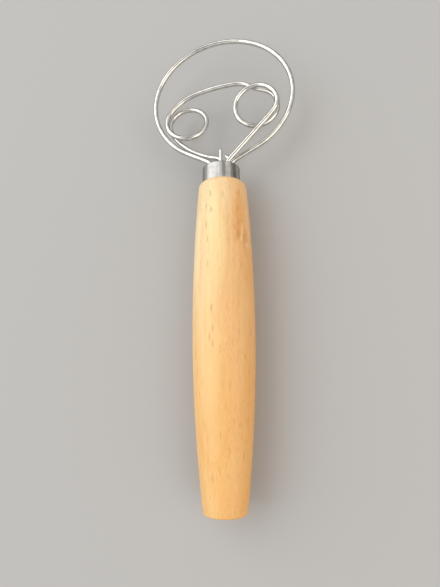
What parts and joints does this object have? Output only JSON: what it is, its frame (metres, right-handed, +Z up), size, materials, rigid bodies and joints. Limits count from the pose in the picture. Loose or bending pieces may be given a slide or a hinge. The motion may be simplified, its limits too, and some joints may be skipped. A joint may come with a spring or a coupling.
{
  "type": "dough whisk",
  "caption": "Hand whisk for stiff dough: turned beech handle, steel collar, wide open wire loop, and an inner wire wound into coils under an arch.",
  "frame": {"origin": "under the middle of the whisk's bounding box, on the surface that the handle's barrel lies on", "axes": "+Y along the handle towards the loops, +Z up from the lying whisk, +X to the side of the coil with the leg on top"},
  "size_m": [0.0774, 0.2418, 0.03],
  "materials": {
    "beech": "pale turned beech, waxed, with short darker flecks along the grain",
    "collar_steel": "thin polished stainless ring with fine turning marks",
    "wire_steel": "bright drawn stainless wire",
    "pin_steel": "bright stainless, rounded at the tip",
    "resin": "dark amber resin with a smooth set surface"
  },
  "bodies": {
    "root": {"handle": "beech", "ferrule": "collar_steel", "outer_loop": "wire_steel", "inner_wire": "wire_steel", "locking_pin": "pin_steel", "weld_bead": "pin_steel", "resin_plug": "resin"}
  },
  "joints": []
}
